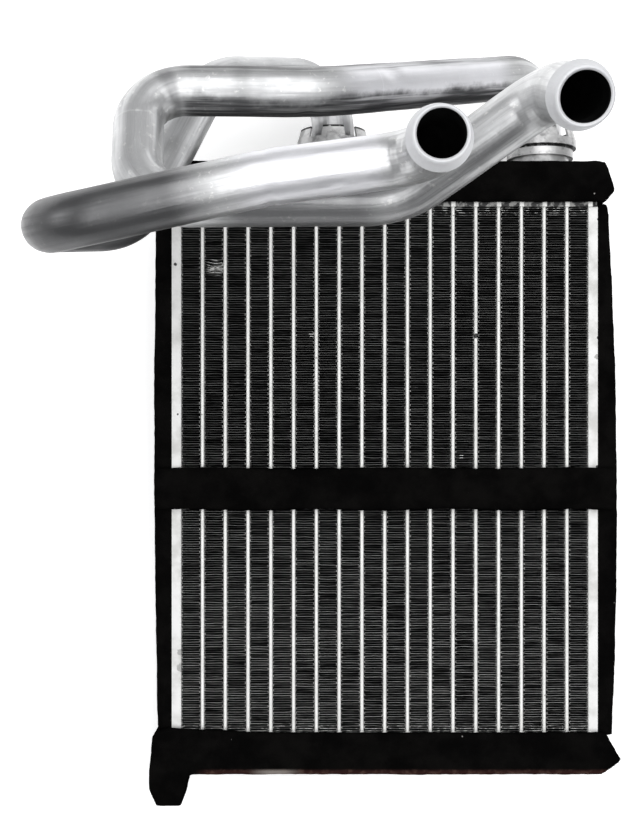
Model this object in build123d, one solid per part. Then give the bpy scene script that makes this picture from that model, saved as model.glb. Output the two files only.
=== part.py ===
from build123d import *
import math
import os

# A heater core lies on its back: X to its right, Y up its height, Z out of its front face.
# The origin is the middle of the back of the foam band. All sizes are in millimetres.

# core matrix
TUBE_COUNT = 17
TUBE_PITCH = 9.5
TUBE_THICKNESS = 1.5
TUBE_WALL = 0.3
MATRIX_DEPTH = 32.0
MATRIX_BACK = 4.0
MATRIX_MIDDLE_Y = 8.0
MATRIX_HALF_HEIGHT = 109.4
FIN_WAVES = 20
FIN_THICKNESS = 0.3
FIN_CREST = 0.8

# side plates
PLATE_THICKNESS = 1.0
PLATE_FLANGE = 4.0

# headers and tanks
HEADER_THICKNESS = 2.0
HEADER_RIM = 1.0
TOP_TANK_HEIGHT = 13.7
BOTTOM_TANK_HEIGHT = 11.9
TANK_WALL = 0.9
TANK_CORNER = 5.0
TUBE_REACH = 2.0

# foam
FOAM_THICKNESS = 3.0
TOP_EDGE_STEP = 1.6
BOTTOM_EDGE_STEP = -0.6
RIGHT_STRIP_WIDTHS = (4.6, 8.4, 6.4)
LEFT_STRIP_WIDTHS = (6.6, 7.4, 6.0)
BAND_WIDTH = 17.4
BAND_OVERHANG = 7.1
BAND_SIDE = 1.2
BAND_WAVE = 0.4
BAND_STEPS = 16
WRAP_LIP = 2.7
WRAP_SHOULDER = 1.0
TOP_FLARE = 6.7
TOP_FLARE_RISE = 4.8
BOTTOM_FLARE = 9.2
BOTTOM_FLARE_DROP = 11.8
BOTTOM_EDGE_RISE = 1.9
TAIL_LENGTH = 13.1
TAIL_WIDTH = 10.4
TAIL_LEAN = 3.0

# ports
RIGHT_PORT_X = 67.5
LEFT_PORT_X = -21.4
FLANGE_RADIUS = 13.2
FLANGE_THICKNESS = 2.4
FLANGE_CLEARANCE = 0.2
CUP_WALL = 1.9
CUP_NECK_STEP = 3.1
CUP_COLLAR_STEP = 1.3
CUP_WAIST_STEP = 2.0
CUP_NECK_HEIGHT = 7.0
CUP_COLLAR_HEIGHT = 3.3
CUP_WAIST_HEIGHT = 0.9
CUP_WALL_HEIGHT = 3.4
CROWN_HEIGHT = 4.6
CROWN_WALL = 1.2
CROWN_LEAN = 1.3
CROWN_TABS = 6
CROWN_SLOT = 5.8
PORT_SEAT = 4.0
FLOW_HOLE_RADIUS = 7.0
BAFFLE_X = 23.0

# pipes
PIPE_RADIUS = 9.0
PIPE_WALL = 1.5
PIPE_CLEARANCE = 0.05
BEAD_RISE = 1.3
BEAD_LENGTH = 3.0
BEAD_ROUNDING = 1.2
BEAD_SETBACK = 6.5

# derived levels
HALF_MATRIX_WIDTH = (TUBE_COUNT + 1) * TUBE_PITCH / 2 - TUBE_THICKNESS / 2
MATRIX_FRONT = MATRIX_BACK + MATRIX_DEPTH
MID_Z = MATRIX_BACK + MATRIX_DEPTH / 2
CORE_HALF_WIDTH = HALF_MATRIX_WIDTH + PLATE_FLANGE
TANK_DEPTH = MATRIX_DEPTH + 2 * HEADER_RIM
TANK_BASE = MATRIX_HALF_HEIGHT + HEADER_THICKNESS
TANK_TOP = TANK_BASE + TOP_TANK_HEIGHT
TANK_BOTTOM = TANK_BASE + BOTTOM_TANK_HEIGHT
FOAM_TOP = TANK_TOP + FOAM_THICKNESS
FOAM_BOTTOM = TANK_BOTTOM + FOAM_THICKNESS
TOP_FOAM_EDGE = MATRIX_HALF_HEIGHT + TOP_EDGE_STEP
BOTTOM_FOAM_EDGE = MATRIX_HALF_HEIGHT + BOTTOM_EDGE_STEP
FOAM_BACK = MID_Z - TANK_DEPTH / 2 - FOAM_THICKNESS
FOAM_DEPTH = TANK_DEPTH + 2 * FOAM_THICKNESS
PIPE_BORE = PIPE_RADIUS - PIPE_WALL
CUP_BASE = MATRIX_MIDDLE_Y + TANK_TOP
CUP_POCKET_RADIUS = FLANGE_RADIUS + FLANGE_CLEARANCE
CUP_RADIUS = CUP_POCKET_RADIUS + CUP_WALL
CUP_FLOOR = CUP_NECK_HEIGHT + CUP_COLLAR_HEIGHT + CUP_WAIST_HEIGHT
CUP_WALL_TOP = CUP_FLOOR + CUP_WALL_HEIGHT
POCKET_FLOOR = CUP_WALL_TOP - FLANGE_THICKNESS
RIGHT_PORT = Vector(RIGHT_PORT_X, CUP_BASE, MID_Z)
LEFT_PORT = Vector(LEFT_PORT_X, CUP_BASE, MID_Z)

# right pipe, measured from its port: over the top, round the left and along the front to its upper open end
RIGHT_RISER_TOP = RIGHT_PORT + Vector(0, 43.4, 0)
RIGHT_RUN_BEND = RIGHT_PORT + Vector(-95.2, 15.4, 78.0)
RIGHT_TOP_CORNER = RIGHT_PORT + Vector(-159.6, 15.0, 82.0)
RIGHT_LOW_CORNER = RIGHT_PORT + Vector(-157.2, -29.5, 107.0)
RIGHT_FRONT_BEND = RIGHT_PORT + Vector(-67.5, -29.6, 111.0)
RIGHT_END_CORNER = RIGHT_PORT + Vector(-20.5, 1.1, 135.0)
RIGHT_TIP = RIGHT_PORT + Vector(-18.5, -11.4, 173.0)
RIGHT_BENDS = [(RIGHT_RISER_TOP, 16.0), (RIGHT_RUN_BEND, 40.0), (RIGHT_TOP_CORNER, 17.0),
               (RIGHT_LOW_CORNER, 19.0), (RIGHT_FRONT_BEND, 30.0), (RIGHT_END_CORNER, 19.0)]

# left pipe, measured from its port: down behind, round the far left and along the front to its lower open end
LEFT_RISER_TOP = LEFT_PORT + Vector(0, 41.5, 0)
LEFT_SHOULDER = LEFT_PORT + Vector(-49.6, 30.8, 40.0)
LEFT_KNEE = LEFT_PORT + Vector(-74.3, -34.1, 82.0)
LEFT_TURN_BACK = LEFT_PORT + Vector(-102.7, -36.0, 92.0)
LEFT_TURN_FRONT = LEFT_PORT + Vector(-90.4, -42.0, 135.0)
LEFT_FRONT_BEND = LEFT_PORT + Vector(-22.5, -26.4, 132.0)
LEFT_END_CORNER = LEFT_PORT + Vector(29.8, -19.1, 130.0)
LEFT_TIP = LEFT_PORT + Vector(30.0, -20.2, 166.0)
LEFT_BENDS = [(LEFT_RISER_TOP, 18.0), (LEFT_SHOULDER, 32.0), (LEFT_KNEE, 18.0), (LEFT_TURN_BACK, 19.0),
              (LEFT_TURN_FRONT, 19.0), (LEFT_FRONT_BEND, 60.0), (LEFT_END_CORNER, 17.0)]


def box_between(low, high):
    size = Vector(*high) - Vector(*low)
    middle = (Vector(*high) + Vector(*low)) / 2
    return Pos(middle) * Box(size.X, size.Y, size.Z)


def core_box(half_width, low_y, high_y, back, front):
    low = (-half_width, MATRIX_MIDDLE_Y + low_y, back)
    return box_between(low, (half_width, MATRIX_MIDDLE_Y + high_y, front))


def flat_oval(x, thickness, depth, low_y, high_y):
    section = Plane.XZ * Pos(x, MID_Z) * SlotOverall(depth, thickness, rotation=90)
    return Pos(0, MATRIX_MIDDLE_Y + low_y, 0) * extrude(section, amount=-(high_y - low_y))


def tube_x(index):
    return (index - (TUBE_COUNT - 1) / 2) * TUBE_PITCH


def flat_tube(index):
    reach = MATRIX_HALF_HEIGHT + HEADER_THICKNESS + TUBE_REACH
    outside = flat_oval(tube_x(index), TUBE_THICKNESS, MATRIX_DEPTH, -reach, reach)
    inner_depth = MATRIX_DEPTH - 2 * TUBE_WALL
    inside = flat_oval(tube_x(index), TUBE_THICKNESS - 2 * TUBE_WALL, inner_depth, -reach, reach)
    return outside - inside


def fin_ribbon(index):
    # one folded ribbon zigzags between two tubes, or between a tube and a side plate
    left = tube_x(index) - TUBE_PITCH + TUBE_THICKNESS / 2
    right = left + TUBE_PITCH - TUBE_THICKNESS
    step = (2 * MATRIX_HALF_HEIGHT - FIN_CREST) / (2 * FIN_WAVES)
    first = MATRIX_MIDDLE_Y - MATRIX_HALF_HEIGHT + FIN_CREST / 2
    crest = FIN_CREST / 2
    left_path = []
    right_path = []
    for fold in range(2 * FIN_WAVES + 1):
        y = first + fold * step
        if fold % 2 == 0:
            left_path += [(left, y - crest), (left, y + crest)]
            right_path.append((left + FIN_THICKNESS, y))
        else:
            left_path.append((right - FIN_THICKNESS, y))
            right_path += [(right, y - crest), (right, y + crest)]
    outline = Polyline(left_path + [(left + FIN_THICKNESS, y + crest)] + right_path[::-1]
                       + [(left + FIN_THICKNESS, first - crest)], close=True)
    return Pos(0, 0, MATRIX_BACK) * extrude(make_face(outline), amount=MATRIX_DEPTH)


def side_plate(side):
    # a shallow channel: its web backs the last fin ribbon and its flanges point outwards
    web = box_between((0, -MATRIX_HALF_HEIGHT, MATRIX_BACK),
                      (PLATE_THICKNESS, MATRIX_HALF_HEIGHT, MATRIX_FRONT))
    flanges = []
    for level in (MATRIX_BACK, MATRIX_FRONT - PLATE_THICKNESS):
        flanges.append(box_between((0, -MATRIX_HALF_HEIGHT, level),
                                   (PLATE_FLANGE, MATRIX_HALF_HEIGHT, level + PLATE_THICKNESS)))
    plate = web + flanges
    corners = plate.edges().filter_by(Axis.Y).sort_by(Axis.X)[:2]
    plate = Pos(HALF_MATRIX_WIDTH, MATRIX_MIDDLE_Y, 0) * fillet(corners, PLATE_THICKNESS / 2)
    return plate if side > 0 else mirror(plate, about=Plane.YZ)


def header(end):
    low, high = sorted((end * MATRIX_HALF_HEIGHT, end * (MATRIX_HALF_HEIGHT + HEADER_THICKNESS)))
    plate = core_box(CORE_HALF_WIDTH, low, high, MID_Z - TANK_DEPTH / 2, MID_Z + TANK_DEPTH / 2)
    plate = fillet(plate.edges().filter_by(Axis.Y), TANK_CORNER / 2)
    for index in range(TUBE_COUNT):
        plate -= flat_oval(tube_x(index), TUBE_THICKNESS, MATRIX_DEPTH, low, high)
    return plate


def tank_block(inset, base, top, corner):
    block = core_box(CORE_HALF_WIDTH - inset, base, top,
                     MID_Z - TANK_DEPTH / 2 + inset, MID_Z + TANK_DEPTH / 2 - inset)
    block = fillet(block.edges().filter_by(Axis.Y), TANK_CORNER / 2)
    crown = block.faces().sort_by(Axis.Y)[-1]
    return fillet(crown.edges(), corner)


def tank_tray(top):
    # a drawn tray, brazed to the header by its open side
    hollow = tank_block(TANK_WALL, TANK_BASE, top - TANK_WALL, TANK_CORNER - TANK_WALL)
    return tank_block(0, TANK_BASE, top, TANK_CORNER) - hollow


def upside_down(shape):
    return Pos(0, 2 * MATRIX_MIDDLE_Y, 0) * mirror(shape, about=Plane.XZ)


def top_tank():
    tray = tank_tray(TANK_TOP)
    for port in (LEFT_PORT, RIGHT_PORT):
        tray -= Pos(port) * standing_cylinder(FLOW_HOLE_RADIUS, -TANK_CORNER, 0)
    return tray


def tank_baffle():
    # a plate across the top tank sends the water down one half of the tubes and up the other
    room = tank_block(TANK_WALL, TANK_BASE, TANK_TOP - TANK_WALL, TANK_CORNER - TANK_WALL)
    divider = Pos(BAFFLE_X, 0, MID_Z) * Box(TANK_WALL, 4 * TANK_TOP, 2 * TANK_DEPTH)
    tube_ends = core_box(CORE_HALF_WIDTH, 0, TANK_BASE + TUBE_REACH, 0, FOAM_DEPTH)
    return (room & divider) - tube_ends


def port_cup(port):
    # a turned cup stands on the tank, and its crown of tabs is crimped in over the pipe's flange
    neck = CUP_RADIUS - CUP_NECK_STEP
    collar = CUP_RADIUS - CUP_COLLAR_STEP
    waist = CUP_RADIUS - CUP_WAIST_STEP
    collar_base = CUP_NECK_HEIGHT
    collar_top = collar_base + CUP_COLLAR_HEIGHT
    profile = [(0, 0), (neck, 0), (neck, collar_base), (collar, collar_base), (collar, collar_top),
               (waist, collar_top), (waist, CUP_FLOOR), (CUP_RADIUS, CUP_FLOOR),
               (CUP_RADIUS, CUP_WALL_TOP), (0, CUP_WALL_TOP)]
    cup = revolve(make_face(Polyline(profile, close=True)), axis=Axis.Y)
    cup -= standing_cylinder(FLOW_HOLE_RADIUS, 0, PORT_SEAT)
    cup -= standing_cylinder(PIPE_RADIUS + PIPE_CLEARANCE, PORT_SEAT, CUP_WALL_TOP)
    cup -= standing_cylinder(CUP_POCKET_RADIUS, POCKET_FLOOR, CUP_WALL_TOP)
    return Pos(port) * (cup + crimped_crown())


def crimped_crown():
    inner = CUP_RADIUS - CROWN_WALL
    top = CUP_WALL_TOP + CROWN_HEIGHT
    profile = [(inner, CUP_WALL_TOP), (CUP_RADIUS, CUP_WALL_TOP), (CUP_RADIUS - CROWN_LEAN, top),
               (inner - CROWN_LEAN, top)]
    crown = revolve(make_face(Polyline(profile, close=True)), axis=Axis.Y)
    slot = Pos(0, CUP_WALL_TOP + CROWN_HEIGHT / 2, 0) * Box(3 * CUP_RADIUS, CROWN_HEIGHT, CROWN_SLOT)
    for number in range(CROWN_TABS // 2):
        crown -= Rot(0, number * 360 / CROWN_TABS, 0) * slot
    return crown


def standing_cylinder(radius, low, high):
    return Pos(0, (low + high) / 2, 0) * Rot(90, 0, 0) * Cylinder(radius, high - low)


def pipe_wire(start, bends, tip):
    # straight lengths joined by an arc of the given radius at each bend point
    edges = []
    here = start
    corners = [point for point, radius in bends] + [tip]
    for number, (corner, radius) in enumerate(bends):
        arriving = (corner - here).normalized()
        leaving = (corners[number + 1] - corner).normalized()
        turn = math.radians(arriving.get_angle(leaving))
        set_back = radius * math.tan(turn / 2)
        entry = corner - arriving * set_back
        leave = corner + leaving * set_back
        inward = (leaving - arriving).normalized()
        middle = corner + inward * (radius / math.cos(turn / 2) - radius)
        edges += [Line(here, entry), ThreePointArc(entry, middle, leave)]
        here = leave
    edges.append(Line(here, tip))
    return Wire([edge.edge() for edge in edges])


def swept_round(path, radius):
    return sweep(Plane(origin=path @ 0, z_dir=path % 0) * Circle(radius), path=path)


def collar_ring(radius, height):
    # a ring that grows out of the pipe's wall
    return Cylinder(radius, height) - Cylinder(PIPE_RADIUS - PIPE_WALL / 2, height)


def hose_bead():
    ring = collar_ring(PIPE_RADIUS + BEAD_RISE, BEAD_LENGTH)
    rims = ring.edges().filter_by(GeomType.CIRCLE).group_by(SortBy.RADIUS)[-1]
    return fillet(rims, BEAD_ROUNDING)


def water_pipe(port, bends, tip):
    path = pipe_wire(port + Vector(0, PORT_SEAT, 0), bends, tip)
    outward = (tip - bends[-1][0]).normalized()
    bead_plane = Plane(origin=tip - outward * BEAD_SETBACK, z_dir=outward)
    flange_middle = port + Vector(0, POCKET_FLOOR + FLANGE_THICKNESS / 2, 0)
    pipe = swept_round(path, PIPE_RADIUS) - swept_round(path, PIPE_BORE)
    pipe += Pos(flange_middle) * Rot(90, 0, 0) * collar_ring(FLANGE_RADIUS, FLANGE_THICKNESS)
    return pipe + bead_plane * hose_bead()


def foam_strip(side, widths):
    # the strip fills the side plate's channel and bows out past its flanges, above and below the band
    inner = HALF_MATRIX_WIDTH + PLATE_THICKNESS
    top, middle, bottom = [CORE_HALF_WIDTH + width for width in widths]
    high = (top, TOP_FOAM_EDGE)
    low = (bottom, -BOTTOM_FOAM_EDGE)
    edge = Spline(high, (middle, -MATRIX_HALF_HEIGHT / 4), low)
    inside = Polyline(low, (inner, -BOTTOM_FOAM_EDGE), (inner, TOP_FOAM_EDGE), high)
    strip = extrude(make_face([edge, inside]), amount=MATRIX_DEPTH)
    strip = Pos(0, MATRIX_MIDDLE_Y, MATRIX_BACK) * strip
    strip -= core_box(CORE_HALF_WIDTH, MATRIX_HALF_HEIGHT, TANK_TOP, 0, FOAM_DEPTH)
    strip = strip if side > 0 else mirror(strip, about=Plane.YZ)
    return strip - side_plate(side) - band_block()


def band_edge(level, first, last, waves):
    # one long cut edge of the band wavers a little
    points = []
    for step in range(BAND_STEPS + 1):
        part = step / BAND_STEPS
        points.append((first + part * (last - first), level + BAND_WAVE * math.sin(waves * math.pi * part)))
    return points


def band_block():
    outer = CORE_HALF_WIDTH + BAND_OVERHANG
    edges = band_edge(BAND_WIDTH / 2, -outer, outer, 5) + band_edge(-BAND_WIDTH / 2, outer, -outer, 7)
    block = extrude(make_face(Polyline(edges, close=True)), amount=FOAM_DEPTH)
    corners = block.edges().filter_by(Axis.Z).group_by(Axis.X)
    return Pos(0, 0, FOAM_BACK) * fillet(corners[0] + corners[-1], BAND_SIDE)


def foam_band():
    # one band goes right round the core and presses on the side strips
    inner = CORE_HALF_WIDTH + BAND_OVERHANG - BAND_SIDE
    return band_block() - box_between((-inner, -BAND_WIDTH, MATRIX_BACK), (inner, BAND_WIDTH, MATRIX_FRONT))


def whole_strip(side, widths):
    # under the band the strip is pressed in and runs on as one piece
    inner = CORE_HALF_WIDTH + BAND_OVERHANG - BAND_SIDE
    bridge = box_between((HALF_MATRIX_WIDTH + PLATE_THICKNESS, -BAND_WIDTH / 2 - BAND_WAVE, MATRIX_BACK),
                         (inner, BAND_WIDTH / 2 + BAND_WAVE, MATRIX_FRONT))
    bridge = bridge if side > 0 else mirror(bridge, about=Plane.YZ)
    return foam_strip(side, widths) + (bridge - side_plate(side) - foam_band())


def wrap_block(outline, room):
    # the foam wrap is a block with the tank, the header and the end of the matrix taken out of it
    block = extrude(make_face(Polyline(outline, close=True)), amount=FOAM_DEPTH)
    block = Pos(0, MATRIX_MIDDLE_Y, FOAM_BACK) * block
    plates = core_box(CORE_HALF_WIDTH, -MATRIX_HALF_HEIGHT, MATRIX_HALF_HEIGHT, MATRIX_BACK, MATRIX_FRONT)
    strips = core_box(2 * CORE_HALF_WIDTH, -BOTTOM_FOAM_EDGE, TOP_FOAM_EDGE, MATRIX_BACK, MATRIX_FRONT)
    return block - room - plates - strips


def foam_top():
    lip = CORE_HALF_WIDTH + WRAP_LIP
    flare = CORE_HALF_WIDTH + TOP_FLARE
    shoulder = CORE_HALF_WIDTH + FOAM_THICKNESS
    high_side = [(lip, TOP_FOAM_EDGE), (flare, TOP_FOAM_EDGE + TOP_FLARE_RISE),
                 (shoulder, FOAM_TOP - WRAP_SHOULDER), (CORE_HALF_WIDTH, FOAM_TOP)]
    room = tank_block(0, MATRIX_HALF_HEIGHT, TANK_TOP, TANK_CORNER)
    wrap = wrap_block(high_side + [(-x, y) for x, y in high_side[::-1]], room)
    for port in (LEFT_PORT, RIGHT_PORT):
        wrap -= Pos(port) * standing_cylinder(CUP_RADIUS - CUP_NECK_STEP, 0, FOAM_THICKNESS)
    return wrap


def foam_bottom():
    # its left end is folded round the corner and hangs down in front as a loose tail
    lip = CORE_HALF_WIDTH + WRAP_LIP
    flare = CORE_HALF_WIDTH + BOTTOM_FLARE
    tail_low = -FOAM_BOTTOM - TAIL_LENGTH
    tail_right = -flare + TAIL_WIDTH + TAIL_LEAN
    right_end = [(lip, -BOTTOM_FOAM_EDGE), (flare, -BOTTOM_FOAM_EDGE - BOTTOM_FLARE_DROP),
                 (CORE_HALF_WIDTH + WRAP_LIP / 2, -FOAM_BOTTOM)]
    tail = [(tail_right + TAIL_LEAN, -FOAM_BOTTOM), (tail_right + TAIL_LEAN / 2, tail_low + TAIL_LENGTH / 2),
            (tail_right, tail_low), (-flare + TAIL_LEAN, tail_low), (-flare, tail_low + TAIL_LENGTH / 2),
            (-flare, -FOAM_BOTTOM)]
    left_end = [(-flare + TAIL_LEAN / 2, -BOTTOM_FOAM_EDGE - BOTTOM_EDGE_RISE),
                (-flare + TAIL_LEAN, -BOTTOM_FOAM_EDGE),
                (-CORE_HALF_WIDTH, -BOTTOM_FOAM_EDGE + BOTTOM_EDGE_RISE), (-CORE_HALF_WIDTH / 2, -BOTTOM_FOAM_EDGE)]
    room = upside_down(tank_block(0, BOTTOM_FOAM_EDGE - BOTTOM_EDGE_RISE, TANK_BOTTOM, TANK_CORNER))
    behind_tail = core_box(2 * flare, 2 * tail_low, -FOAM_BOTTOM, -FOAM_DEPTH, MID_Z)
    return wrap_block(right_end + tail + left_end, room) - behind_tail


def all_parts():
    parts = {}
    for index in range(TUBE_COUNT):
        parts[f"tube_{index + 1:02d}"] = flat_tube(index)
    for index in range(TUBE_COUNT + 1):
        parts[f"fin_{index + 1:02d}"] = fin_ribbon(index)
    parts["side_plate_left"] = side_plate(-1)
    parts["side_plate_right"] = side_plate(1)
    parts["header_top"] = header(1)
    parts["header_bottom"] = header(-1)
    parts["tank_top"] = top_tank()
    parts["tank_bottom"] = upside_down(tank_tray(TANK_BOTTOM))
    parts["tank_baffle"] = tank_baffle()
    parts["port_cup_left"] = port_cup(LEFT_PORT)
    parts["port_cup_right"] = port_cup(RIGHT_PORT)
    parts["pipe_left"] = water_pipe(LEFT_PORT, LEFT_BENDS, LEFT_TIP)
    parts["pipe_right"] = water_pipe(RIGHT_PORT, RIGHT_BENDS, RIGHT_TIP)
    parts["foam_left"] = whole_strip(-1, LEFT_STRIP_WIDTHS)
    parts["foam_right"] = whole_strip(1, RIGHT_STRIP_WIDTHS)
    parts["foam_band"] = foam_band()
    parts["foam_top"] = foam_top()
    parts["foam_bottom"] = foam_bottom()
    return parts


os.makedirs("parts", exist_ok=True)
for name, shape in all_parts().items():
    export_step(shape, f"parts/{name}.step")
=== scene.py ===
import math
import random

import bmesh
import bpy
from mathutils import Matrix, Vector, noise


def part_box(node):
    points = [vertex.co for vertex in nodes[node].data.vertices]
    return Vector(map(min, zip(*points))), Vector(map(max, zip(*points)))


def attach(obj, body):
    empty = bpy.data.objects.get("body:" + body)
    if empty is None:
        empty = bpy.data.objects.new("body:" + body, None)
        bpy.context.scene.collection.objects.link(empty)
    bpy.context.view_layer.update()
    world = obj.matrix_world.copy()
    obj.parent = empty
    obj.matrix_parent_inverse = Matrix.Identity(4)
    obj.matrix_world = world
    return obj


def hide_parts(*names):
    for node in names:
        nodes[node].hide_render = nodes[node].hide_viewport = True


# A heater core lies on its back on a pale floor: X to its right, Y up its height, Z towards the camera.
# All sizes are in metres.

MM = 0.001

# core matrix
TUBES = 17
TUBE_PITCH = 9.5 * MM
TUBE_THICKNESS = 1.5 * MM
MATRIX_MIDDLE_Y = 8.0 * MM
MATRIX_HALF_HEIGHT = 109.4 * MM
MATRIX_BACK = 4.0 * MM
MATRIX_FRONT = 36.0 * MM

# fins
FIN_WALLS = 225
FIN_GAUGE = 0.12 * MM
FIN_BOTTOM = MATRIX_MIDDLE_Y - MATRIX_HALF_HEIGHT
FIN_TOP = MATRIX_MIDDLE_Y + MATRIX_HALF_HEIGHT
FIN_TURN = 0.3 * MM
FIN_LOUVRE = 0.62 * MM
FIN_WAVER = 0.2 * MM
FIN_WHITE_BITS = [((-0.0303, 0.064, MATRIX_FRONT), 0.0015), ((0.0318, 0.0134, MATRIX_FRONT), 0.0012)]
BENT_FINS_X = -70.3 * MM
BENT_FINS_Y = 92.2 * MM
BENT_FINS_REACH = 4.0 * MM
BENT_FINS_PUSH = 1.2 * MM

# foam
FOAM_VOXEL = 1.3 * MM
FOAM_LUMPS = 0.35 * MM
FOAM_HANG_FROM = -98.0 * MM
RIGHT_STRIP_HANG = 2.4 * MM

# ports
PORT_Y = 133.1 * MM
PORT_Z = 20.0 * MM
RIGHT_PORT = Vector((67.5 * MM, PORT_Y, PORT_Z))
LEFT_PORT = Vector((-21.4 * MM, PORT_Y, PORT_Z))
PORT_SEAT = 4.0 * MM

# pipes
PIPE_RADIUS = 9.0 * MM
PIPE_WALL = 1.25 * MM
PIPE_SIDES = 56
PIPE_STEP = 1.6 * MM
BEAD_RISE = 1.3 * MM
BEAD_LENGTH = 3.0 * MM
BEAD_SETBACK = 6.5 * MM
LIP_ROUNDING = 0.35 * MM
BEND_OVAL = 0.045
WRINKLE_DEPTH = 0.14 * MM
WRINKLE_SPACING = 5.0 * MM
PIPE_UNEVEN = 0.12 * MM

# each bend is its place from the port and its radius, in millimetres
RIGHT_BENDS = [((0, 43.4, 0), 16), ((-95.2, 15.4, 78), 40), ((-159.6, 15.0, 82), 17),
               ((-157.2, -29.5, 107), 19), ((-67.5, -29.6, 111), 30), ((-20.5, 1.1, 135), 19)]
RIGHT_TIP = (-18.5, -11.4, 173)
LEFT_BENDS = [((0, 41.5, 0), 18), ((-49.6, 30.8, 40), 32), ((-74.3, -34.1, 82), 18),
              ((-102.7, -36.0, 92), 19), ((-90.4, -42.0, 135), 19), ((-22.5, -26.4, 132), 60),
              ((29.8, -19.1, 130), 17)]
LEFT_TIP = (30.0, -20.2, 166)

# the dark and bright stretches are painted reflections, each its start and end along the pipe, its fade, its
# strength and its tone; the thin bright ring at 129.2 mm on the right pipe is a ring scratch
RIGHT_PAINTED_REFLECTIONS_AND_SCRATCH = [(52 * MM, 152 * MM, 14 * MM, 0.75, 0.95), (129.2 * MM, 130.0 * MM, 0.3 * MM, 0.8, 0.95),
                   (176 * MM, 186 * MM, 4 * MM, 0.25, 0.09),
                   (203 * MM, 213 * MM, 4 * MM, 0.5, 0.12), (276 * MM, 345 * MM, 16 * MM, 0.65, 0.09)]
LEFT_PAINTED_REFLECTIONS = [(0 * MM, 22 * MM, 6 * MM, 0.5, 0.15), (22 * MM, 110 * MM, 15 * MM, 0.3, 0.25),
                  (146 * MM, 288 * MM, 20 * MM, 0.9, 0.07), (286 * MM, 345 * MM, 14 * MM, 0.8, 0.86)]
# each stretch of painted shade on the pipe's underside and top is its start and end along the pipe, its fade
# and its strength
RIGHT_PAINTED_EDGE_SHADE = [(32 * MM, 208 * MM, 10 * MM, 1.0), (336 * MM, 400 * MM, 14 * MM, 0.6)]
RIGHT_LENGTH = 440.2 * MM
LEFT_LENGTH = 382.5 * MM
TIP_LENGTH = 9.5 * MM

# each dent is its place, its reach and its depth
RIGHT_DENTS = [((-0.031, 0.1405, 0.1), 5.0 * MM, 0.5 * MM), ((-0.024, 0.1415, 0.1), 4.0 * MM, 0.4 * MM),
               ((0.0, 0.16, 0.085), 6.0 * MM, 0.4 * MM)]
LEFT_DENTS = [((-0.0205, 0.1, 0.156), 5.0 * MM, 0.6 * MM), ((-0.012, 0.101, 0.156), 5.0 * MM, 0.5 * MM),
              ((0.0, 0.1035, 0.158), 5.0 * MM, 0.5 * MM)]

# marks on the metal: each spot is its place and its radius
TUBE_SPOTS = [((-0.0299, 0.0644, MATRIX_FRONT), 0.0012)]
TUBE_DARK_SPOTS = [((0.0380, 0.0636, MATRIX_FRONT), 0.0013)]
PLATE_DARK_SPOTS = [((0.0892, 0.0628, MATRIX_FRONT), 0.001), ((0.0892, 0.1122, MATRIX_FRONT), 0.0009),
                    ((0.0893, 0.0961, MATRIX_FRONT), 0.0007), ((0.0894, -0.0414, MATRIX_FRONT), 0.0007),
                    ((0.0892, 0.0245, MATRIX_FRONT), 0.0006), ((0.0885, 0.0092, MATRIX_FRONT), 0.0007),
                    ((-0.0873, 0.0935, MATRIX_FRONT), 0.0008), ((-0.0862, 0.031, MATRIX_FRONT), 0.0005)]
PLATE_SMEARS = [((-0.0853, -0.0681, MATRIX_FRONT), 0.0016), ((-0.085, -0.0747, MATRIX_FRONT), 0.002),
                ((0.0886, 0.055, MATRIX_FRONT), 0.0016)]

# the dark crimp lines round each port cup, as heights along Y
CUP_JOINTS = [(PORT_Y + 10.3 * MM, PORT_Y + 11.4 * MM), (PORT_Y + 18.4 * MM, PORT_Y + 20.0 * MM)]

# the painted highlight on the lit brown cut edge of the lower foam: its top and foot along Y, and where it
# starts beside the tail along X
FOAM_LIT_EDGE_TOP = (-0.1154, -0.117)
FOAM_LIT_EDGE_FOOT = (-0.1194, -0.1186)
FOAM_LIT_EDGE_START = (-0.079, -0.072)
FOAM_LIT_EDGE_DEPTH = (4.0 * MM, 2.5 * MM)
# where that painted highlight on the foam's cut edge is palest, along X
FOAM_PALEST_EDGE_START = (-0.058, -0.047)
FOAM_PALEST_EDGE_END = (-0.033, -0.044)

# camera and light
CAMERA_PLACE = (-26.98 * MM, 30.675 * MM, 536.0 * MM)
CAMERA_LENS = 52.05
CAMERA_SENSOR = 36.0
FLOOR_SIZE = 6.0
FLOOR_GLOW = 0.42

# colours used on more than one piece
WHITE_FLUX_AND_GLINT = (0.9, 0.9, 0.88, 1)
PALE_METAL = (0.82, 0.82, 0.8, 1)
SOOT = (0.02, 0.02, 0.02, 1)

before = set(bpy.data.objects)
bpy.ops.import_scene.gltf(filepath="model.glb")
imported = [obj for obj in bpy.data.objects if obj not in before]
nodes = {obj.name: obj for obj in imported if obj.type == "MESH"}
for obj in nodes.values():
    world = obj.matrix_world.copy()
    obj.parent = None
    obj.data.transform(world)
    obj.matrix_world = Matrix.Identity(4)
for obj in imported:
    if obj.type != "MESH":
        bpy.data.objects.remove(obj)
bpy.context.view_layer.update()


# shader helpers

def place_node(tree, kind, **settings):
    made = tree.nodes.new(kind)
    for name, value in settings.items():
        setattr(made, name, value)
    return made


def put(tree, value, socket):
    # a value is either another node's output or a plain number or colour
    if isinstance(value, bpy.types.NodeSocket):
        tree.links.new(value, socket)
    else:
        socket.default_value = value


def sum_up(tree, operation, first, second):
    made = place_node(tree, "ShaderNodeMath", operation=operation)
    put(tree, first, made.inputs[0])
    put(tree, second, made.inputs[1])
    return made.outputs[0]


def ramp_between(tree, value, low, high, start=0.0, end=1.0):
    made = place_node(tree, "ShaderNodeMapRange", interpolation_type="SMOOTHSTEP")
    put(tree, value, made.inputs["Value"])
    put(tree, low, made.inputs["From Min"])
    put(tree, high, made.inputs["From Max"])
    put(tree, start, made.inputs["To Min"])
    put(tree, end, made.inputs["To Max"])
    return made.outputs["Result"]


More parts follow.
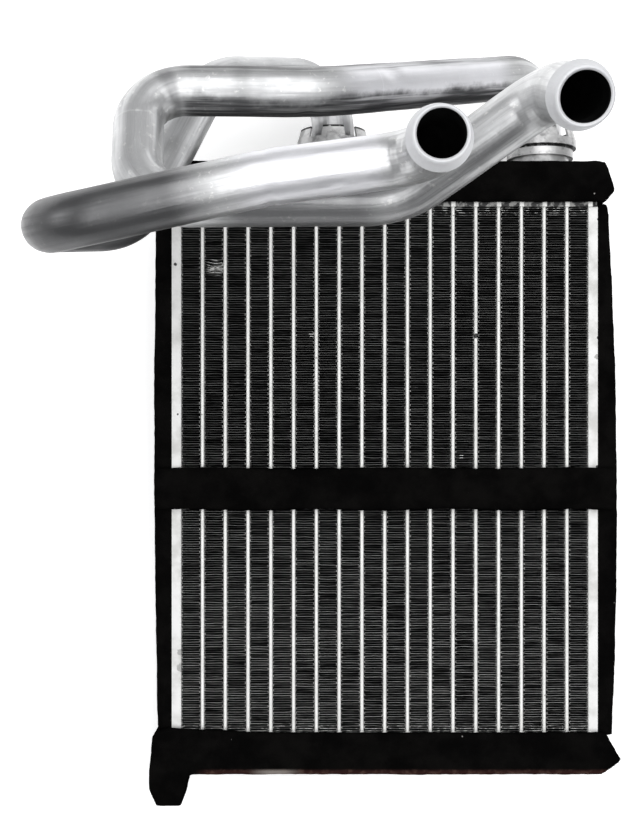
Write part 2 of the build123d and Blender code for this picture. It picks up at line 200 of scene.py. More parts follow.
def blend_colors(tree, mask, under, over):
    made = place_node(tree, "ShaderNodeMix", data_type="RGBA")
    put(tree, mask, made.inputs[0])
    put(tree, under, made.inputs[6])
    put(tree, over, made.inputs[7])
    return made.outputs[2]


def new_group(name, inputs, outputs):
    tree = bpy.data.node_groups.new(name, "ShaderNodeTree")
    for label, kind, value in inputs:
        socket = tree.interface.new_socket(label, in_out="INPUT", socket_type=kind)
        if value is not None:
            socket.default_value = value
    for label, kind in outputs:
        tree.interface.new_socket(label, in_out="OUTPUT", socket_type=kind)
    return tree, tree.nodes.new("NodeGroupInput"), tree.nodes.new("NodeGroupOutput")


def use_group(tree, group, **values):
    made = place_node(tree, "ShaderNodeGroup", node_tree=group)
    for label, value in values.items():
        put(tree, value, made.inputs[label.replace("_", " ").capitalize()])
    return made


def cloud_group():
    # soft cloudy patches
    tree, given, result = new_group(
        "cloudy patches",
        [("Place", "NodeSocketVector", None), ("Scale", "NodeSocketFloat", 60.0),
         ("Low", "NodeSocketFloat", 0.4), ("High", "NodeSocketFloat", 0.65)],
        [("Mask", "NodeSocketFloat")])
    clouds = place_node(tree, "ShaderNodeTexNoise")
    put(tree, given.outputs["Place"], clouds.inputs["Vector"])
    put(tree, given.outputs["Scale"], clouds.inputs["Scale"])
    clouds.inputs["Detail"].default_value = 5.0
    clouds.inputs["Roughness"].default_value = 0.62
    mask = ramp_between(tree, clouds.outputs["Fac"], given.outputs["Low"], given.outputs["High"])
    put(tree, mask, result.inputs["Mask"])
    return tree


def speck_group():
    # small specks, of which only a share shows
    tree, given, result = new_group(
        "small specks",
        [("Place", "NodeSocketVector", None), ("Scale", "NodeSocketFloat", 200.0),
         ("Size", "NodeSocketFloat", 0.2), ("Share", "NodeSocketFloat", 0.2)],
        [("Mask", "NodeSocketFloat")])
    cells = place_node(tree, "ShaderNodeTexVoronoi")
    put(tree, given.outputs["Place"], cells.inputs["Vector"])
    put(tree, given.outputs["Scale"], cells.inputs["Scale"])
    parts = place_node(tree, "ShaderNodeSeparateColor")
    put(tree, cells.outputs["Color"], parts.inputs["Color"])
    chosen = sum_up(tree, "LESS_THAN", parts.outputs["Red"], given.outputs["Share"])
    reach = sum_up(tree, "MULTIPLY", given.outputs["Size"], parts.outputs["Green"])
    near = sum_up(tree, "LESS_THAN", cells.outputs["Distance"], reach)
    put(tree, sum_up(tree, "MULTIPLY", chosen, near), result.inputs["Mask"])
    return tree


def spot_group():
    # one ragged spot at a given place
    tree, given, result = new_group(
        "ragged spot",
        [("Place", "NodeSocketVector", None), ("Centre", "NodeSocketVector", None),
         ("Radius", "NodeSocketFloat", 0.001)],
        [("Mask", "NodeSocketFloat")])
    away = place_node(tree, "ShaderNodeVectorMath", operation="DISTANCE")
    put(tree, given.outputs["Place"], away.inputs[0])
    put(tree, given.outputs["Centre"], away.inputs[1])
    rag = place_node(tree, "ShaderNodeTexNoise")
    put(tree, given.outputs["Place"], rag.inputs["Vector"])
    rag.inputs["Scale"].default_value = 900.0
    edge = sum_up(tree, "MULTIPLY", sum_up(tree, "ADD", rag.outputs["Fac"], 0.4), given.outputs["Radius"])
    inner = sum_up(tree, "MULTIPLY", edge, 0.75)
    mask = ramp_between(tree, away.outputs["Value"], inner, edge, 1.0, 0.0)
    put(tree, mask, result.inputs["Mask"])
    return tree


def grain_group():
    # fine surface grain over slow unevenness
    tree, given, result = new_group(
        "surface grain",
        [("Place", "NodeSocketVector", None), ("Fine", "NodeSocketFloat", 2500.0),
         ("Coarse", "NodeSocketFloat", 200.0)],
        [("Height", "NodeSocketFloat")])
    heights = []
    for label, weight in (("Fine", 0.4), ("Coarse", 0.6)):
        layer = place_node(tree, "ShaderNodeTexNoise")
        put(tree, given.outputs["Place"], layer.inputs["Vector"])
        put(tree, given.outputs[label], layer.inputs["Scale"])
        layer.inputs["Detail"].default_value = 3.0
        heights.append(sum_up(tree, "MULTIPLY", layer.outputs["Fac"], weight))
    put(tree, sum_up(tree, "ADD", *heights), result.inputs["Height"])
    return tree


CLOUDS = cloud_group()
SPECKS = speck_group()
SPOT = spot_group()
GRAIN = grain_group()


def start_material(name, metallic, specular=0.5):
    material = bpy.data.materials.new(name)
    material.use_nodes = True
    tree = material.node_tree
    shader = tree.nodes["Principled BSDF"]
    shader.inputs["Metallic"].default_value = metallic
    shader.inputs["Specular IOR Level"].default_value = specular
    place = place_node(tree, "ShaderNodeTexCoord").outputs["Object"]
    return material, tree, shader, place


def add_bump(tree, shader, height, strength, distance):
    bump = place_node(tree, "ShaderNodeBump")
    bump.inputs["Strength"].default_value = strength
    bump.inputs["Distance"].default_value = distance
    put(tree, height, bump.inputs["Height"])
    put(tree, bump.outputs["Normal"], shader.inputs["Normal"])


def spots_over(tree, place, color, spots, spot_color):
    for centre, radius in spots:
        spot = use_group(tree, SPOT, place=place, centre=centre, radius=radius)
        color = blend_colors(tree, spot.outputs["Mask"], color, spot_color)
    return color


def pale_aluminium(name, pale, dull, metallic, spots=(), dark_spots=(), smears=(), joints=()):
    # brazed aluminium with flux bloom, fine specks, a few marks and perhaps dark joint lines round it
    material, tree, shader, place = start_material(name, metallic)
    patches = use_group(tree, CLOUDS, place=place, scale=90.0, low=0.38, high=0.7)
    color = blend_colors(tree, patches.outputs["Mask"], pale, dull)
    dots = use_group(tree, SPECKS, place=place, scale=420.0, size=0.22, share=0.04)
    color = blend_colors(tree, dots.outputs["Mask"], color, (0.4, 0.39, 0.37, 1))
    color = spots_over(tree, place, color, spots, WHITE_FLUX_AND_GLINT)
    color = spots_over(tree, place, color, smears, (0.38, 0.38, 0.37, 1))
    color = spots_over(tree, place, color, dark_spots, SOOT)
    if joints:
        axes = place_node(tree, "ShaderNodeSeparateXYZ")
        put(tree, place, axes.inputs[0])
        breaks = use_group(tree, CLOUDS, place=place, scale=500.0, low=0.25, high=0.5)
        for low, high in joints:
            start = ramp_between(tree, axes.outputs["Y"], low - 0.15 * MM, low + 0.05 * MM)
            end = ramp_between(tree, axes.outputs["Y"], high - 0.05 * MM, high + 0.15 * MM, 1.0, 0.0)
            line = sum_up(tree, "MULTIPLY", sum_up(tree, "MULTIPLY", start, end), breaks.outputs["Mask"])
            color = blend_colors(tree, line, color, SOOT)
        grime_and_painted_shade = use_group(tree, CLOUDS, place=place, scale=260.0, low=0.5, high=0.68)
        faint_grime = sum_up(tree, "MULTIPLY", grime_and_painted_shade.outputs["Mask"], 0.6)
        color = blend_colors(tree, faint_grime, color, (0.2, 0.2, 0.2, 1))
    put(tree, color, shader.inputs["Base Color"])
    put(tree, ramp_between(tree, patches.outputs["Mask"], 0.0, 1.0, 0.42, 0.66), shader.inputs["Roughness"])
    grain = use_group(tree, GRAIN, place=place, fine=2600.0, coarse=320.0)
    add_bump(tree, shader, grain.outputs["Height"], 0.35, 0.0002)
    return material


def header_material():
    # header metal coloured near black as painted shade in its recess beside the foam, with patchy flux and a
    # pale pool of braze round each tube
    material, tree, shader, place = start_material("brazed header aluminium", 0.2)
    axes = place_node(tree, "ShaderNodeSeparateXYZ")
    put(tree, place, axes.inputs[0])
    columns = sum_up(tree, "DIVIDE", sum_up(tree, "ADD", axes.outputs["X"], TUBE_PITCH * TUBES), TUBE_PITCH)
    from_tube = sum_up(tree, "PINGPONG", columns, 0.5)
    pool = ramp_between(tree, from_tube, 0.07, 0.12, 1.0, 0.0)
    flux = use_group(tree, CLOUDS, place=place, scale=330.0, low=0.47, high=0.6)
    # painted shade: the header is near black under its pale flux patches
    color = blend_colors(tree, flux.outputs["Mask"], (0.01, 0.01, 0.01, 1), (0.33, 0.33, 0.32, 1))
    color = blend_colors(tree, pool, color, PALE_METAL)
    put(tree, color, shader.inputs["Base Color"])
    put(tree, ramp_between(tree, flux.outputs["Mask"], 0.0, 1.0, 0.5, 0.7), shader.inputs["Roughness"])
    grain = use_group(tree, GRAIN, place=place, fine=2600.0, coarse=420.0)
    add_bump(tree, shader, grain.outputs["Height"], 0.5, 0.0003)
    return material


def fin_material():
    # painted shade: a fin is coloured near black for the shade down in its gaps, and its cut front edge is
    # paler, more so towards the bottom; the dots at its turns are painted highlights where the folds catch
    # light
    material, tree, shader, place = start_material("folded fin strip", 0.2, 0.3)
    axes = place_node(tree, "ShaderNodeSeparateXYZ")
    put(tree, place, axes.inputs[0])
    edge = ramp_between(tree, axes.outputs["Z"], MATRIX_FRONT - 0.35 * MM, MATRIX_FRONT - 0.05 * MM)
    low_down = ramp_between(tree, axes.outputs["Y"], 0.04, -0.1, 0.2, 0.44)
    patches = use_group(tree, CLOUDS, place=place, scale=140.0, low=0.35, high=0.7)
    turn_glint = place_node(tree, "ShaderNodeAttribute", attribute_name="turn_glint")
    bent = place_node(tree, "ShaderNodeAttribute", attribute_name="bent")
    bright = place_node(tree, "ShaderNodeAttribute", attribute_name="bright")
    streaks = use_group(tree, CLOUDS, place=place, scale=500.0, low=0.42, high=0.5)
    brightness = sum_up(tree, "MULTIPLY", sum_up(tree, "MULTIPLY", edge, low_down), bright.outputs["Fac"])
    # painted shade: the walls are near black and only the cut front edge shows paler metal
    color = blend_colors(tree, brightness, (0.003, 0.003, 0.003, 1), PALE_METAL)
    # painted highlight: a bright dot at each turn of the fold, on its cut front edge
    glint_mask = sum_up(tree, "MULTIPLY", turn_glint.outputs["Fac"], edge)
    color = blend_colors(tree, glint_mask, color, WHITE_FLUX_AND_GLINT)
    torn = sum_up(tree, "MULTIPLY", bent.outputs["Fac"], streaks.outputs["Mask"])
    color = blend_colors(tree, torn, color, WHITE_FLUX_AND_GLINT)
    below = ramp_between(tree, axes.outputs["Y"], FIN_BOTTOM + 4.5 * MM, FIN_BOTTOM + 1.5 * MM)
    above = ramp_between(tree, axes.outputs["Y"], FIN_TOP - 4.5 * MM, FIN_TOP - 1.5 * MM)
    flux = use_group(tree, CLOUDS, place=place, scale=330.0, low=0.5, high=0.6)
    flux = sum_up(tree, "MULTIPLY", sum_up(tree, "MAXIMUM", below, above), flux.outputs["Mask"])
    color = blend_colors(tree, sum_up(tree, "MULTIPLY", flux, edge), color, (0.85, 0.85, 0.83, 1))
    color = spots_over(tree, place, color, FIN_WHITE_BITS, (0.95, 0.95, 0.93, 1))
    put(tree, color, shader.inputs["Base Color"])
    put(tree, ramp_between(tree, patches.outputs["Mask"], 0.0, 1.0, 0.45, 0.7), shader.inputs["Roughness"])
    grain = use_group(tree, GRAIN, place=place, fine=3000.0, coarse=700.0)
    add_bump(tree, shader, grain.outputs["Height"], 0.2, 0.0001)
    return material


def foam_material():
    # black foam with a fine open skin and a few pale flecks; along the bottom its lit cut edge is a painted
    # highlight, brown, uneven and palest along a short stretch
    material, tree, shader, place = start_material("black foam", 0.0, 0.0)
    axes = place_node(tree, "ShaderNodeSeparateXYZ")
    put(tree, place, axes.inputs[0])
    patches = use_group(tree, CLOUDS, place=place, scale=70.0, low=0.35, high=0.7)
    black, dusty_black = (0.0022, 0.0021, 0.0021, 1), (0.0048, 0.0045, 0.0043, 1)
    color = blend_colors(tree, patches.outputs["Mask"], black, dusty_black)
    flecks = use_group(tree, SPECKS, place=place, scale=220.0, size=0.12, share=0.04)
    color = blend_colors(tree, flecks.outputs["Mask"], color, (0.25, 0.24, 0.23, 1))
    highlight_clouds = use_group(tree, CLOUDS, place=place, scale=300.0, low=0.45, high=0.7)
    # painted highlight: the lit lower cut edge is coloured brown, unevenly, and palest along a short stretch
    lit_edge = ramp_between(tree, axes.outputs["Y"], *FOAM_LIT_EDGE_TOP)
    above_tail = ramp_between(tree, axes.outputs["Y"], *FOAM_LIT_EDGE_FOOT)
    beside_tail = ramp_between(tree, axes.outputs["X"], *FOAM_LIT_EDGE_START)
    foam_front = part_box("foam_bottom")[1][2]
    at_front = ramp_between(tree, axes.outputs["Z"], *[foam_front - depth for depth in FOAM_LIT_EDGE_DEPTH])
    lit_edge = sum_up(tree, "MULTIPLY", sum_up(tree, "MULTIPLY", lit_edge, above_tail), beside_tail)
    lit_edge = sum_up(tree, "MULTIPLY", lit_edge, at_front)
    color = blend_colors(tree, lit_edge, color, (0.028, 0.012, 0.011, 1))
    palest = sum_up(tree, "MULTIPLY", ramp_between(tree, axes.outputs["X"], *FOAM_PALEST_EDGE_START, 0.0, 0.6),
                  ramp_between(tree, axes.outputs["X"], *FOAM_PALEST_EDGE_END))
    brown_highlight = sum_up(tree, "MULTIPLY", lit_edge, highlight_clouds.outputs["Mask"])
    color = blend_colors(tree, brown_highlight, color, (0.07, 0.04, 0.032, 1))
    color = blend_colors(tree, sum_up(tree, "MULTIPLY", lit_edge, palest), color, (0.36, 0.33, 0.3, 1))
    put(tree, color, shader.inputs["Base Color"])
    shader.inputs["Roughness"].default_value = 0.95
    grain = use_group(tree, GRAIN, place=place, fine=1600.0, coarse=500.0)
    add_bump(tree, shader, grain.outputs["Height"], 0.8, 0.0006)
    return material


def streak_group():
    # drawing streaks that run along a pipe and rings scratched round it
    tree, given, result = new_group(
        "drawn streaks",
        [("Wrap", "NodeSocketVector", None), ("Fine", "NodeSocketFloat", 900.0),
         ("Ring", "NodeSocketFloat", 300.0)],
        [("Streaks", "NodeSocketFloat"), ("Rings", "NodeSocketFloat")])
    layers = (("Fine", "Streaks", (1.0, 1.0, 0.04)), ("Ring", "Rings", (0.03, 0.03, 1.0)))
    for label, output, stretch in layers:
        stretched = place_node(tree, "ShaderNodeVectorMath", operation="MULTIPLY")
        put(tree, given.outputs["Wrap"], stretched.inputs[0])
        put(tree, stretch, stretched.inputs[1])
        layer = place_node(tree, "ShaderNodeTexNoise")
        put(tree, stretched.outputs[0], layer.inputs["Vector"])
        put(tree, given.outputs[label], layer.inputs["Scale"])
        layer.inputs["Detail"].default_value = 4.0
        put(tree, layer.outputs["Fac"], result.inputs[output])
    return tree


STREAKS = streak_group()


def pipe_band(tree, along, start, end, fade, amount):
    # a stretch of a pipe that fades in past its start and out before its end
    rise = ramp_between(tree, along, start, start + fade, 0.0, amount)
    fall = ramp_between(tree, along, end - fade, end, 1.0, 0.0)
    return sum_up(tree, "MULTIPLY", rise, fall)


def painted_edge_shade(tree, along, patches, streaks):
    # painted shade in broken streaks on a pipe's underside and, fainter, along its top; the shallow bend
    # gets less of it
    upward = place_node(tree, "ShaderNodeAttribute", attribute_name="upward").outputs["Fac"]
    less_shaded = sum_up(tree, "SUBTRACT", ramp_between(tree, along, 140 * MM, 158 * MM, 0.0, 0.25),
                     ramp_between(tree, along, 184 * MM, 198 * MM, 0.0, 0.2))
    ragged = sum_up(tree, "ADD", upward, sum_up(tree, "MULTIPLY", patches, -0.25))
    under = ramp_between(tree, sum_up(tree, "ADD", ragged, less_shaded), -0.3, -0.7, 0.0, 0.95)
    upper = ramp_between(tree, upward, 0.4, 0.85, 0.0, 0.85)
    broken = ramp_between(tree, streaks, 0.3, 0.6, 0.55, 1.0)
    return sum_up(tree, "MULTIPLY", sum_up(tree, "MAXIMUM", under, upper), broken)


def pipe_material(name, painted_reflections_and_scratch, tip_from, grime_and_painted_shade=()):
    # drawn aluminium: satin, with streaks along the pipe, scuffs and ring scratches; dark and bright
    # stretches along it are painted reflections, and the given stretches of its underside and top get
    # painted shade
    material, tree, shader, place = start_material(name, 0.9)
    wrap = place_node(tree, "ShaderNodeAttribute", attribute_name="wrap").outputs["Vector"]
    marks = use_group(tree, STREAKS, wrap=wrap, fine=850.0, ring=260.0)
    streaks = ramp_between(tree, marks.outputs["Streaks"], 0.4, 0.72)
    rings = ramp_between(tree, marks.outputs["Rings"], 0.64, 0.7)
    patches = use_group(tree, CLOUDS, place=place, scale=45.0, low=0.35, high=0.7)
    scuffs = use_group(tree, CLOUDS, place=place, scale=420.0, low=0.58, high=0.72)
    color = blend_colors(tree, patches.outputs["Mask"], (0.7, 0.705, 0.71, 1), (0.54, 0.545, 0.55, 1))
    color = blend_colors(tree, sum_up(tree, "MULTIPLY", streaks, 0.55), color, (0.42, 0.42, 0.43, 1))
    color = blend_colors(tree, sum_up(tree, "MULTIPLY", rings, 0.5), color, (0.85, 0.85, 0.85, 1))
    color = blend_colors(tree, scuffs.outputs["Mask"], color, (0.82, 0.82, 0.81, 1))
    axes = place_node(tree, "ShaderNodeSeparateXYZ")
    put(tree, wrap, axes.inputs[0])
    along = axes.outputs["Z"]
    # painted reflections: dark and bright stretches along the pipe; the one thin bright ring on the right
    # pipe is a ring scratch
    for start, end, fade, amount, tone in painted_reflections_and_scratch:
        band = pipe_band(tree, along, start, end, fade, amount)
        color = blend_colors(tree, band, color, (tone, tone, tone * 1.04, 1))
    # painted shade along the pipe's underside and top, by which way the surface faces
    if grime_and_painted_shade:
        edges = painted_edge_shade(tree, along, patches.outputs["Mask"], marks.outputs["Streaks"])
    for start, end, fade, amount in grime_and_painted_shade:
        band = pipe_band(tree, along, start, end, fade, amount)
        color = blend_colors(tree, sum_up(tree, "MULTIPLY", edges, band), color, (0.05, 0.05, 0.053, 1))
    at_tip = ramp_between(tree, along, tip_from, tip_from + 1.5 * MM)
    color = blend_colors(tree, at_tip, color, (0.76, 0.765, 0.78, 1))
    put(tree, color, shader.inputs["Base Color"])
    rough = sum_up(tree, "ADD", ramp_between(tree, patches.outputs["Mask"], 0.0, 1.0, 0.36, 0.46),
                   sum_up(tree, "MULTIPLY", streaks, 0.1))
    rough = sum_up(tree, "MAXIMUM", rough, sum_up(tree, "MULTIPLY", at_tip, 0.75))
    put(tree, rough, shader.inputs["Roughness"])
    grain = use_group(tree, GRAIN, place=place, fine=1500.0, coarse=260.0)
    height = sum_up(tree, "ADD", grain.outputs["Height"], sum_up(tree, "MULTIPLY", streaks, 0.35))
    height = sum_up(tree, "ADD", height, sum_up(tree, "MULTIPLY", rings, 0.4))
    add_bump(tree, shader, height, 0.3, 0.0003)
    return material


def bore_material():
    # painted shade: the inside of the pipe is coloured near black for the shade deep in its bore
    material, tree, shader, place = start_material("dark pipe bore", 0.0, 0.1)
    patches = use_group(tree, CLOUDS, place=place, scale=150.0, low=0.3, high=0.8)
    color = blend_colors(tree, patches.outputs["Mask"], (0.003, 0.003, 0.003, 1), (0.012, 0.012, 0.012, 1))
    put(tree, color, shader.inputs["Base Color"])
    shader.inputs["Roughness"].default_value = 0.85
    grain = use_group(tree, GRAIN, place=place, fine=1500.0, coarse=300.0)
    add_bump(tree, shader, grain.outputs["Height"], 0.3, 0.0003)
    return material


def floor_material():
    material, tree, shader, place = start_material("pale studio floor", 0.0, 0.0)
    patches = use_group(tree, CLOUDS, place=place, scale=0.8, low=0.3, high=0.7)
    color = blend_colors(tree, patches.outputs["Mask"], (0.93, 0.93, 0.93, 1), (0.95, 0.95, 0.95, 1))
    put(tree, color, shader.inputs["Base Color"])
    shader.inputs["Roughness"].default_value = 0.9
    shader.inputs["Emission Color"].default_value = (1, 1, 1, 1)
    rays = place_node(tree, "ShaderNodeLightPath")
    seen = sum_up(tree, "MAXIMUM", rays.outputs["Is Camera Ray"], rays.outputs["Is Glossy Ray"])
    seen = sum_up(tree, "MAXIMUM", seen, rays.outputs["Is Transmission Ray"])
    put(tree, sum_up(tree, "MULTIPLY", seen, FLOOR_GLOW), shader.inputs["Emission Strength"])
    return material


# mesh helpers

def finish_piece(name, mesh_maker, material, slot, *replaced):
    mesh = bpy.data.meshes.new(name)
    mesh_maker.to_mesh(mesh)
    mesh_maker.free()
    return finish_mesh(name, mesh, material, slot, *replaced)


def finish_mesh(name, mesh, material, slot, *replaced):
    piece = bpy.data.objects.new(name, mesh)
    bpy.context.scene.collection.objects.link(piece)
    mesh.materials.clear()
    mesh.materials.append(material)
    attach(piece, "root")
    if replaced:
        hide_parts(*replaced)
    return piece


def smooth_faces(mesh, angle):
    for face in mesh.polygons:
        face.use_smooth = True
    mesh.set_sharp_from_angle(angle=math.radians(angle))


def dress(names, material):
    for name in names:
        node = nodes[name]
        for slot in node.material_slots:
            slot.material = material


# fins

def folded_fin(index, material):
    # one strip runs to and fro between its tubes, turns square at each side and leans where it is louvred
    left = (index - (TUBES - 1) / 2 - 1) * TUBE_PITCH + TUBE_THICKNESS / 2 + FIN_GAUGE / 2
    width = TUBE_PITCH - TUBE_THICKNESS - FIN_GAUGE
    step = (2 * MATRIX_HALF_HEIGHT - FIN_GAUGE) / FIN_WALLS
    bottom = FIN_BOTTOM + (step + FIN_GAUGE) / 2
    turn = FIN_TURN / width
    middles = (0.3, 0.42, 0.58, 0.7) if left < BENT_FINS_X < left + width else (0.5,)
    across = (0.0, turn, 2 * turn, *middles, 1 - 2 * turn, 1 - turn, 1.0)
    rises = (-0.4, -0.25, *[0.0 for inner in across[2:-2]], 0.25, 0.4)
    levels = ((0.0, 0.0), (0.3, FIN_LOUVRE), (0.65, -FIN_LOUVRE), (1.0, 0.0))
    last = FIN_WALLS * len(across) - 1
    dice = random.Random(index)
    shines = [0.2 + 0.8 * dice.random() ** 1.3 for fold in range(FIN_WALLS)]
    turn_glints = [0.2 if dice.random() < 0.45 else dice.uniform(0.5, 1.0) for fold in range(FIN_WALLS + 1)]
    strip = bmesh.new()
    bmesh.ops.create_grid(strip, x_segments=last, y_segments=len(levels) - 1, size=1.0)
    glint_layer = strip.verts.layers.float.new("turn_glint")
    bent_layer = strip.verts.layers.float.new("bent")
    bright_layer = strip.verts.layers.float.new("bright")
    for vert in strip.verts:
        number = round((vert.co.x + 1) / 2 * last)
        part, lean = levels[round((vert.co.y + 1) / 2 * (len(levels) - 1))]
        fold, row = divmod(number, len(across))
        here = across[row] if fold % 2 == 0 else 1 - across[row]
        x = left + here * width
        y = bottom + (fold + rises[row]) * step + lean
        y += FIN_WAVER * noise.noise(Vector((index * 7.3 + here * 2.0, fold * 1.3, part * 2.0)))
        z = MATRIX_BACK + part * (MATRIX_FRONT - MATRIX_BACK)
        side = (x - BENT_FINS_X) / BENT_FINS_REACH
        up = (y - BENT_FINS_Y) / BENT_FINS_REACH
        bent = max(0.0, 1.0 - side * side - up * up) if part == 1.0 else 0.0
        vert.co = (x, y - BENT_FINS_PUSH * bent * math.sin(3.0 * up + 2.0 * side * side), z)
        # painted highlight: the row just off each turn gets a bright dot, its strength drawn per fold
        turning = 1.0 if row in (1, len(across) - 2) else 0.0
        vert[glint_layer] = turning * turn_glints[fold + (row > 1)]
        vert[bent_layer] = min(1.0, bent * 2.5)
        uneven = noise.noise(Vector((index * 3.7, fold * 0.77, here * 1.5)))
        vert[bright_layer] = min(1.0, max(0.0, shines[fold] + 0.5 * uneven))
    bmesh.ops.recalc_face_normals(strip, faces=strip.faces)
    name = f"fin_{index + 1:02d}"
    piece = finish_piece(f"folded_{name}", strip, material, "fin", name)
    wall = piece.modifiers.new("strip gauge", "SOLIDIFY")
    wall.thickness = FIN_GAUGE
    wall.offset = 0.0
    return piece


# foam

def soft_foam(name, material, hang=0.0):
    # the firm outline gets rounded cut edges and an uneven skin, and its lower end hangs a little further
    source = nodes[name]
    merged = bmesh.new()
    merged.from_mesh(source.data)
    bmesh.ops.remove_doubles(merged, verts=merged.verts, dist=0.01 * MM)
    mesh = bpy.data.meshes.new(f"{name} copy")
    merged.to_mesh(mesh)
    merged.free()
    shape = bpy.data.objects.new(f"{name} copy", mesh)
    bpy.context.scene.collection.objects.link(shape)
    remesh = shape.modifiers.new("even faces", "REMESH")
    remesh.mode = "VOXEL"
    remesh.voxel_size = FOAM_VOXEL
    depsgraph = bpy.context.evaluated_depsgraph_get()
    skin = bpy.data.meshes.new_from_object(shape.evaluated_get(depsgraph))
    bpy.data.objects.remove(shape)
    soft = bmesh.new()
    soft.from_mesh(skin)
    bmesh.ops.smooth_vert(soft, verts=soft.verts, factor=0.5,
                          use_axis_x=True, use_axis_y=True, use_axis_z=True)
    soft.normal_update()
    for vert in soft.verts:
        slow = noise.noise(vert.co * 60.0)
        fine = noise.noise(vert.co * 400.0)
        vert.co += vert.normal * FOAM_LUMPS * (0.7 * slow + 0.5 * fine)
        vert.co.z = max(0.0, vert.co.z)
        if vert.co.y < FOAM_HANG_FROM:
            vert.co.y -= hang
    piece = finish_piece(f"soft_{name}", soft, material, "foam", name)
    for face in piece.data.polygons:
        face.use_smooth = True
    return piece


# pipes

def route(port, bends, tip):
    # the straight runs and the arcs of a pipe, in order
    here = port + Vector((0, PORT_SEAT, 0))
    corners = [port + Vector(point) * MM for point, radius in bends] + [port + Vector(tip) * MM]
    parts = []
    for number, (point, radius) in enumerate(bends):
        corner = corners[number]
        arriving = (corner - here).normalized()
        leaving = (corners[number + 1] - corner).normalized()
        turn = arriving.angle(leaving)
        set_back = radius * MM * math.tan(turn / 2)
        entry = corner - arriving * set_back
        inward = (leaving - arriving).normalized()
        centre = corner + inward * radius * MM / math.cos(turn / 2)
        parts.append(("run", arriving * ((entry - here).length), None, None))
        parts.append(("arc", centre, arriving.cross(leaving).normalized(), turn))
        here = corner + leaving * set_back
    parts.append(("run", corners[-1] - here, None, None))
    return parts


def drawn_pipe(side, port, bends, tip, dents, material, bore):
    # a ring of edges is drawn along the route, step by step, and each ring is kept to be shaped later
    parts = route(port, bends, tip)
    pipe = bmesh.new()
    wrap_layer = pipe.verts.layers.float_vector.new("wrap")
    upward_layer = pipe.verts.layers.float.new("upward")
    centre = port + Vector((0, PORT_SEAT, 0))
    upright = Matrix.Translation(centre) @ Matrix.Rotation(math.radians(-90), 4, "X")
    verts = bmesh.ops.create_circle(pipe, cap_ends=False, radius=PIPE_RADIUS, segments=PIPE_SIDES,
                                    matrix=upright)["verts"]
    edges = list({edge for vert in verts for edge in vert.link_edges})
    for vert in verts:
        vert[wrap_layer] = (vert.co.x - centre.x, vert.co.z - centre.z, 0.0)
    along = 0.0
    rings = [(along, centre, verts, 0.0, Vector((1, 0, 0)))]
    for kind, where, axis, turn in parts:
        length = where.length if kind == "run" else turn * (centre - where).length
        steps = max(1, round(length / PIPE_STEP))
        for step in range(steps):
            grown = bmesh.ops.extrude_edge_only(pipe, edges=edges)["geom"]
            verts = [item for item in grown if isinstance(item, bmesh.types.BMVert)]
            fresh = set(verts)
            edges = [item for item in grown if isinstance(item, bmesh.types.BMEdge)
                     and fresh.issuperset(item.verts)]
            along += length / steps
            if kind == "run":
                bmesh.ops.translate(pipe, verts=verts, vec=where / steps)
                centre = centre + where / steps
                rings.append((along, centre, verts, 0.0, Vector((1, 0, 0))))
            else:
                swing = Matrix.Rotation(turn / steps, 3, axis)
                bmesh.ops.rotate(pipe, verts=verts, cent=where, matrix=swing)
                centre = where + swing @ (centre - where)
                bend = math.sin(math.pi * (step + 1) / steps)
                rings.append((along, centre, verts, bend, (centre - where).normalized()))
            for vert in verts:
                vert[wrap_layer].z = along
    shape_rings(rings, along, dents, upward_layer)
    bmesh.ops.recalc_face_normals(pipe, faces=pipe.faces)
    piece = finish_piece(f"bent_pipe_{side}", pipe, material, "pipe", f"pipe_{side}")
    piece.data.materials.append(bore)
    smooth_faces(piece.data, 40)
    wall = piece.modifiers.new("pipe wall", "SOLIDIFY")
    wall.thickness = PIPE_WALL
    wall.offset = -1.0
    wall.material_offset = 1
    wall.material_offset_rim = 0
    return piece


def shape_rings(rings, total, dents, upward_layer):
    # the bead and the rounded lip, the slight flattening at the bends, the ripples inside them and the dents
    bead_reach = BEAD_LENGTH / 2 + 0.4 * MM
    for along, centre, verts, bend, outward in rings:
        from_tip = total - along
        off_bead = abs(from_tip - BEAD_SETBACK) / bead_reach
        swell = BEAD_RISE * math.sqrt(max(0.0, 1.0 - off_bead * off_bead))
        if from_tip < LIP_ROUNDING:
            swell -= LIP_ROUNDING - from_tip
        for vert in verts:
            spoke = vert.co - centre
            side = spoke.normalized().dot(outward)
            vert[upward_layer] = spoke.normalized().y
            shape = swell - BEND_OVAL * bend * PIPE_RADIUS * side * side
            if side < 0:
                shape += WRINKLE_DEPTH * bend * side * side * math.sin(2 * math.pi * along / WRINKLE_SPACING)
            shape += PIPE_UNEVEN * noise.noise(vert.co * 90.0)
            for place, reach, depth in dents:
                away = (vert.co - Vector(place)).length / reach
                if away < 1.0:
                    shape -= depth * (1.0 - away * away) ** 2
            vert.co = centre + spoke.normalized() * (PIPE_RADIUS + shape)


# stage

def add_floor():
    floor = bmesh.new()
    bmesh.ops.create_grid(floor, x_segments=1, y_segments=1, size=FLOOR_SIZE / 2)
    mesh = bpy.data.meshes.new("studio_floor")
    floor.to_mesh(mesh)
    floor.free()
    mesh.materials.append(floor_material())
    piece = bpy.data.objects.new("studio_floor", mesh)
    bpy.context.scene.collection.objects.link(piece)


def add_lamp(name, place, aim, size, energy):
    data = bpy.data.lights.new(name, "AREA")
    data.shape = "RECTANGLE"
    data.size, data.size_y = size
    data.energy = energy
    lamp = bpy.data.objects.new(name, data)
    lamp.location = place
    lamp.rotation_euler = (Vector(aim) - Vector(place)).to_track_quat("-Z", "Y").to_euler()
    bpy.context.scene.collection.objects.link(lamp)


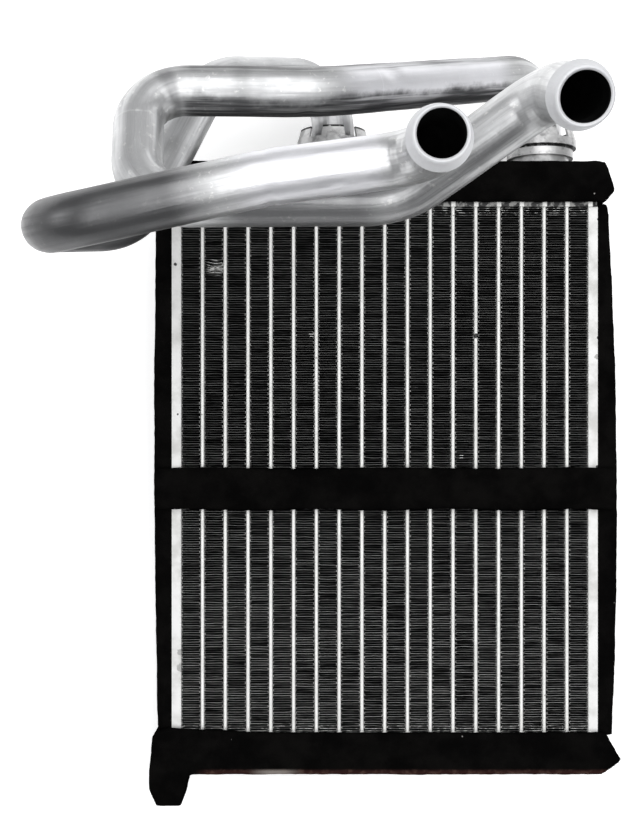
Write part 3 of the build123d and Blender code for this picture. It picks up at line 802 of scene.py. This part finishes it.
def add_camera():
    data = bpy.data.cameras.new("front_view")
    data.lens = CAMERA_LENS
    data.sensor_width = CAMERA_SENSOR
    data.sensor_fit = "AUTO"
    camera = bpy.data.objects.new("front_view", data)
    camera.location = CAMERA_PLACE
    bpy.context.scene.collection.objects.link(camera)
    bpy.context.scene.camera = camera


def light_world():
    world = bpy.data.worlds.new("soft studio")
    bpy.context.scene.world = world
    world.use_nodes = True
    background = world.node_tree.nodes["Background"]
    background.inputs["Color"].default_value = (0.97, 0.98, 1.0, 1)
    background.inputs["Strength"].default_value = 0.26


def set_stage():
    add_camera()
    add_floor()
    light_world()
    add_lamp("overhead_softbox", (0.3, 0.5, 1.3), (0.3, 0.5, 0), (1.7, 2.4), 27.0)
    add_lamp("left_softbox", (-1.3, 0.2, 0.8), (0, 0, 0), (1.0, 0.4), 4.0)


def make_pieces():
    # the fins, the foam and the pipes stand in for their plainer CAD solids
    fin = fin_material()
    for index in range(TUBES + 1):
        folded_fin(index, fin)
    foam = foam_material()
    for name in ("foam_top", "foam_bottom", "foam_left", "foam_band"):
        soft_foam(name, foam)
    soft_foam("foam_right", foam, hang=RIGHT_STRIP_HANG)
    bore = bore_material()
    right_metal = pipe_material("right pipe satin aluminium", RIGHT_PAINTED_REFLECTIONS_AND_SCRATCH,
                                RIGHT_LENGTH - TIP_LENGTH, RIGHT_PAINTED_EDGE_SHADE)
    left_metal = pipe_material("left pipe satin aluminium", LEFT_PAINTED_REFLECTIONS, LEFT_LENGTH - TIP_LENGTH)
    drawn_pipe("right", RIGHT_PORT, RIGHT_BENDS, RIGHT_TIP, RIGHT_DENTS, right_metal, bore)
    drawn_pipe("left", LEFT_PORT, LEFT_BENDS, LEFT_TIP, LEFT_DENTS, left_metal, bore)


def dress_cad_pieces():
    # the metal pieces that are shown as they are
    tube_metal = pale_aluminium("brazed tube aluminium", (0.88, 0.88, 0.86, 1), (0.78, 0.78, 0.76, 1), 0.15,
                                spots=TUBE_SPOTS, dark_spots=TUBE_DARK_SPOTS)
    dress([f"tube_{number:02d}" for number in range(1, TUBES + 1)], tube_metal)
    plate_metal = pale_aluminium("side plate aluminium", (0.77, 0.77, 0.76, 1), (0.6, 0.6, 0.58, 1), 0.1,
                                 dark_spots=PLATE_DARK_SPOTS, smears=PLATE_SMEARS)
    dress(["side_plate_left", "side_plate_right"], plate_metal)
    dress(["header_top", "header_bottom"], header_material())
    tank_metal = pale_aluminium("tank aluminium", (0.62, 0.62, 0.61, 1), (0.5, 0.5, 0.49, 1), 0.7)
    dress(["tank_top", "tank_bottom", "tank_baffle"], tank_metal)
    cup_metal = pale_aluminium("port cup aluminium", (0.62, 0.62, 0.62, 1), (0.42, 0.42, 0.42, 1), 0.8,
                               joints=CUP_JOINTS)
    dress(["port_cup_left", "port_cup_right"], cup_metal)


set_stage()
make_pieces()
dress_cad_pieces()
bpy.context.scene.view_settings.view_transform = "Standard"
